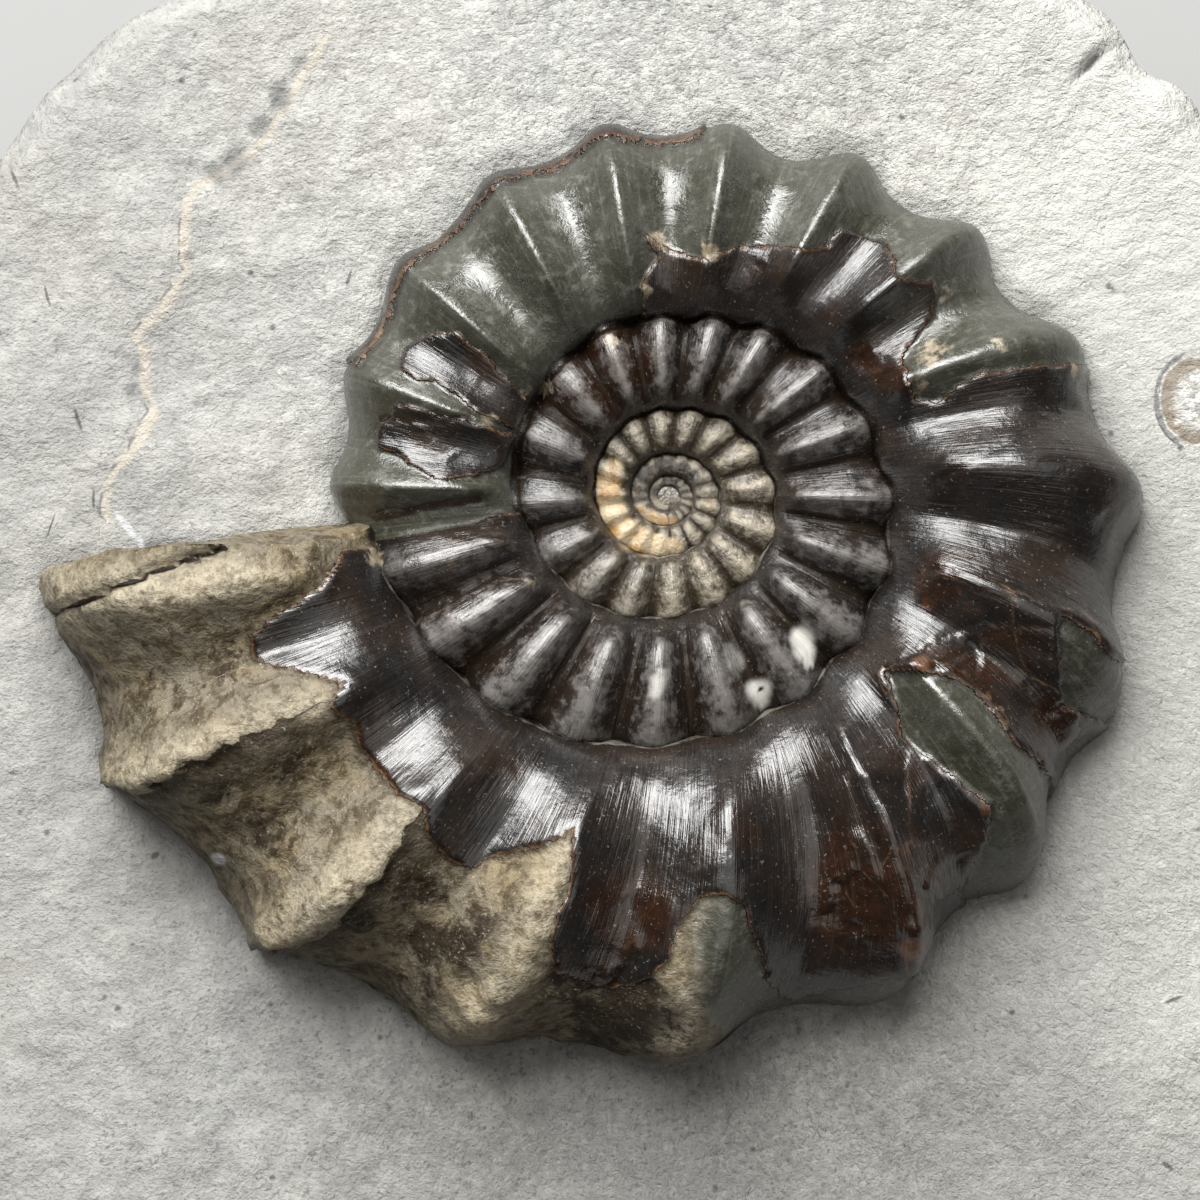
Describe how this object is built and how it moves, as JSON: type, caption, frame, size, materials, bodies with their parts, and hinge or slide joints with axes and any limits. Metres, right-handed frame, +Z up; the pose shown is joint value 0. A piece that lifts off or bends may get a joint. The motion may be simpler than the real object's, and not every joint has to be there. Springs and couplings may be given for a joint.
{
  "type": "fossil androgynoceras ammonite",
  "caption": "Coiled, strongly ribbed ammonite with dark shell and bare mould, half free of the slab of pale limestone that holds it.",
  "frame": {"origin": "middle of the object's bounding box, on the surface that the slab rests on", "axes": "+Z up out of the slab's upper face, along the coil's axis; +X to the right and +Y to the back as the slab is seen from above with the shell's mouth at the left"},
  "size_m": [0.0747, 0.0716, 0.03],
  "materials": {
    "fossil_shell": "semi-gloss",
    "limestone": "matte",
    "small_shell": "matte"
  },
  "bodies": {
    "root": {"ammonite": "fossil_shell", "limestone_matrix": "limestone", "shell_fragment": "small_shell"}
  },
  "joints": []
}
